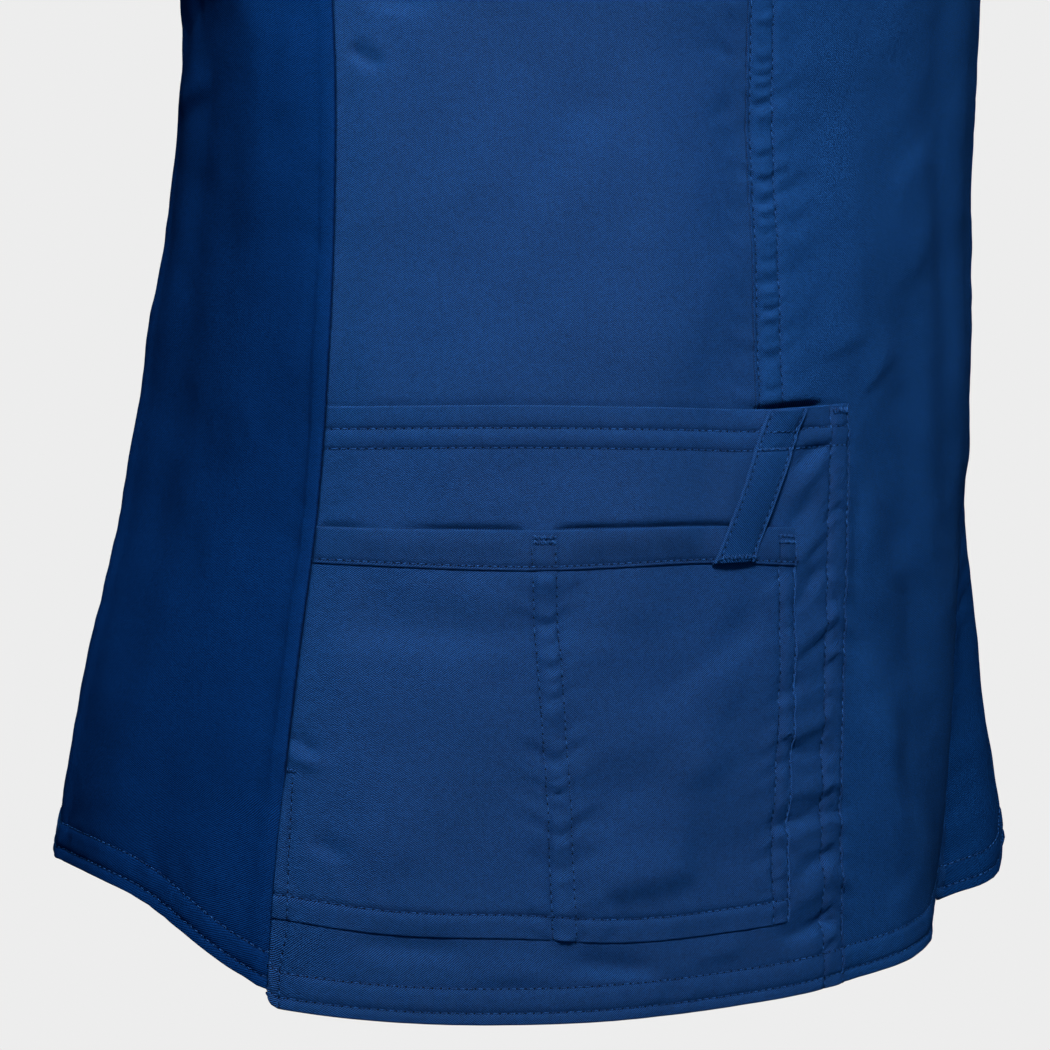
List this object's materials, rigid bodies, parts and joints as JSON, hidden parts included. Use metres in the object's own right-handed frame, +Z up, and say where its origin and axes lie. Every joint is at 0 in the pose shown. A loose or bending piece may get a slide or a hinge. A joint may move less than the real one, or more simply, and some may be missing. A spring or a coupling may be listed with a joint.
{
  "type": "scrub top",
  "caption": "Women's V-neck scrub top in navy twill, hollow and filled out as worn, with side panels, vents and a layered patch pocket with a slanting strap loop",
  "frame": {"origin": "on the shoulder line, in the middle of the neck opening, where the wearer's neck passes through", "axes": "+Z up, +X to the wearer's left, -Y to the front"},
  "size_m": [0.6366, 0.2712, 0.6818],
  "materials": {
    "twill": "matte navy twill"
  },
  "bodies": {
    "root": {"front_right": "twill", "front_left": "twill", "side_panel_right": "twill", "side_panel_left": "twill", "back": "twill", "sleeve_right": "twill", "sleeve_left": "twill", "pocket_lower_layer": "twill", "pocket_upper_layer": "twill", "pocket_upper_band": "twill", "strap_loop": "twill"}
  },
  "joints": []
}
